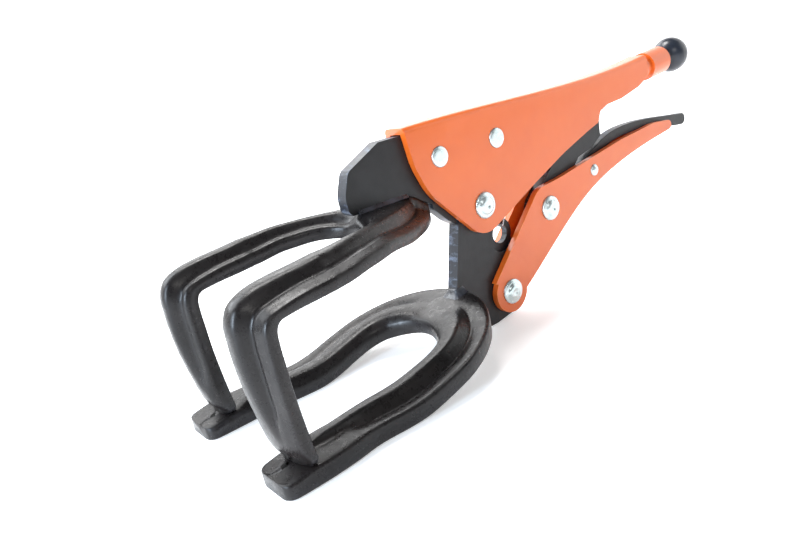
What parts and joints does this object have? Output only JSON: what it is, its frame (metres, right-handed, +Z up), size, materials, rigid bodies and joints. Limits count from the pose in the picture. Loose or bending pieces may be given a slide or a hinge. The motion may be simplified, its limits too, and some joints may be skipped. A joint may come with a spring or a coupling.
{
  "type": "locking pliers with forked clamp jaws",
  "caption": "Locking C-clamp pliers with forged U-shaped fork jaws, folded orange channel handles, riveted toggle linkage and ball-ended adjusting screw.",
  "frame": {"origin": "centre of the bounding box footprint on the floor plane", "axes": "+X from the fork tips to the adjusting knob, +Z up from the flat lower fork, XZ is the mirror plane of the tool"},
  "size_m": [0.3032, 0.0824, 0.1041],
  "materials": {
    "orange_paint": "gloss orange enamel on folded steel sheet",
    "forged_black": "satin black finish on drop-forged steel",
    "plate_black": "fine-grained black finish on blanked steel plate",
    "weld_black": "blackened weld bead",
    "rivet_zinc": "bright zinc plate",
    "screw_steel": "dark zinc-plated threaded steel",
    "knob_black": "blue-black moulded plastic",
    "spring_steel": "oiled spring wire"
  },
  "bodies": {
    "upper_body": {"upper_body": "orange_paint", "fixed_jaw_plate": "plate_black", "upper_fork": "forged_black", "upper_weld_near": "weld_black", "upper_weld_far": "weld_black", "fixed_jaw_front_rivet": "rivet_zinc", "fixed_jaw_rear_rivet": "rivet_zinc", "jaw_pivot_rivet": "rivet_zinc"},
    "moving_jaw": {"moving_jaw_plate": "plate_black", "lower_fork": "forged_black", "lower_weld": "weld_black", "jaw_spring": "spring_steel"},
    "lower_handle": {"lower_handle": "orange_paint", "link_pivot_rivet": "rivet_zinc", "handle_pivot_rivet": "rivet_zinc", "release_lever_rivet": "rivet_zinc"},
    "toggle_link": {"toggle_link": "plate_black"},
    "release_lever": {"release_lever": "plate_black"},
    "screw_travel": {"knob_washer": "rivet_zinc"},
    "adjusting_screw": {"adjusting_screw": "screw_steel", "ball_knob": "knob_black"}
  },
  "joints": [
    {"name": "jaw_hinge", "type": "hinge", "parent": "upper_body", "child": "moving_jaw", "pos_m": [-0.01785, 0, 0.0558], "axis": [0, -1, 0], "range_deg": [0, 15], "deforming": ["jaw_spring"]},
    {"name": "handle_hinge", "type": "hinge", "parent": "moving_jaw", "child": "lower_handle", "pos_m": [-0.00985, 0, 0.0129], "axis": [0, 1, 0], "range_deg": [0, 45]},
    {"name": "link_hinge", "type": "hinge", "parent": "lower_handle", "child": "toggle_link", "pos_m": [0.02285, 0, 0.0427], "axis": [0, -1, 0], "range_deg": [0, 54]},
    {"name": "release_hinge", "type": "hinge", "parent": "lower_handle", "child": "release_lever", "pos_m": [0.05825, 0, 0.0519], "axis": [0, 1, 0], "range_deg": [0, 1.8]},
    {"name": "knob_travel", "type": "slide", "parent": "upper_body", "child": "screw_travel", "axis": [0.9962, 0, 0.0872], "range_m": [0, 0.0075]},
    {"name": "knob_turn", "type": "hinge", "parent": "screw_travel", "child": "adjusting_screw", "pos_m": [0.14255, 0, 0.095], "axis": [0.9962, 0, 0.0872], "range_deg": [0, 1800]}
  ],
  "couplings": [
    {"joint": "handle_hinge", "follows": "jaw_hinge", "ratio": 3},
    {"joint": "link_hinge", "follows": "jaw_hinge", "ratio": 3.6},
    {"joint": "knob_turn", "follows": "knob_travel", "rad_per_m": 4188.8}
  ]
}
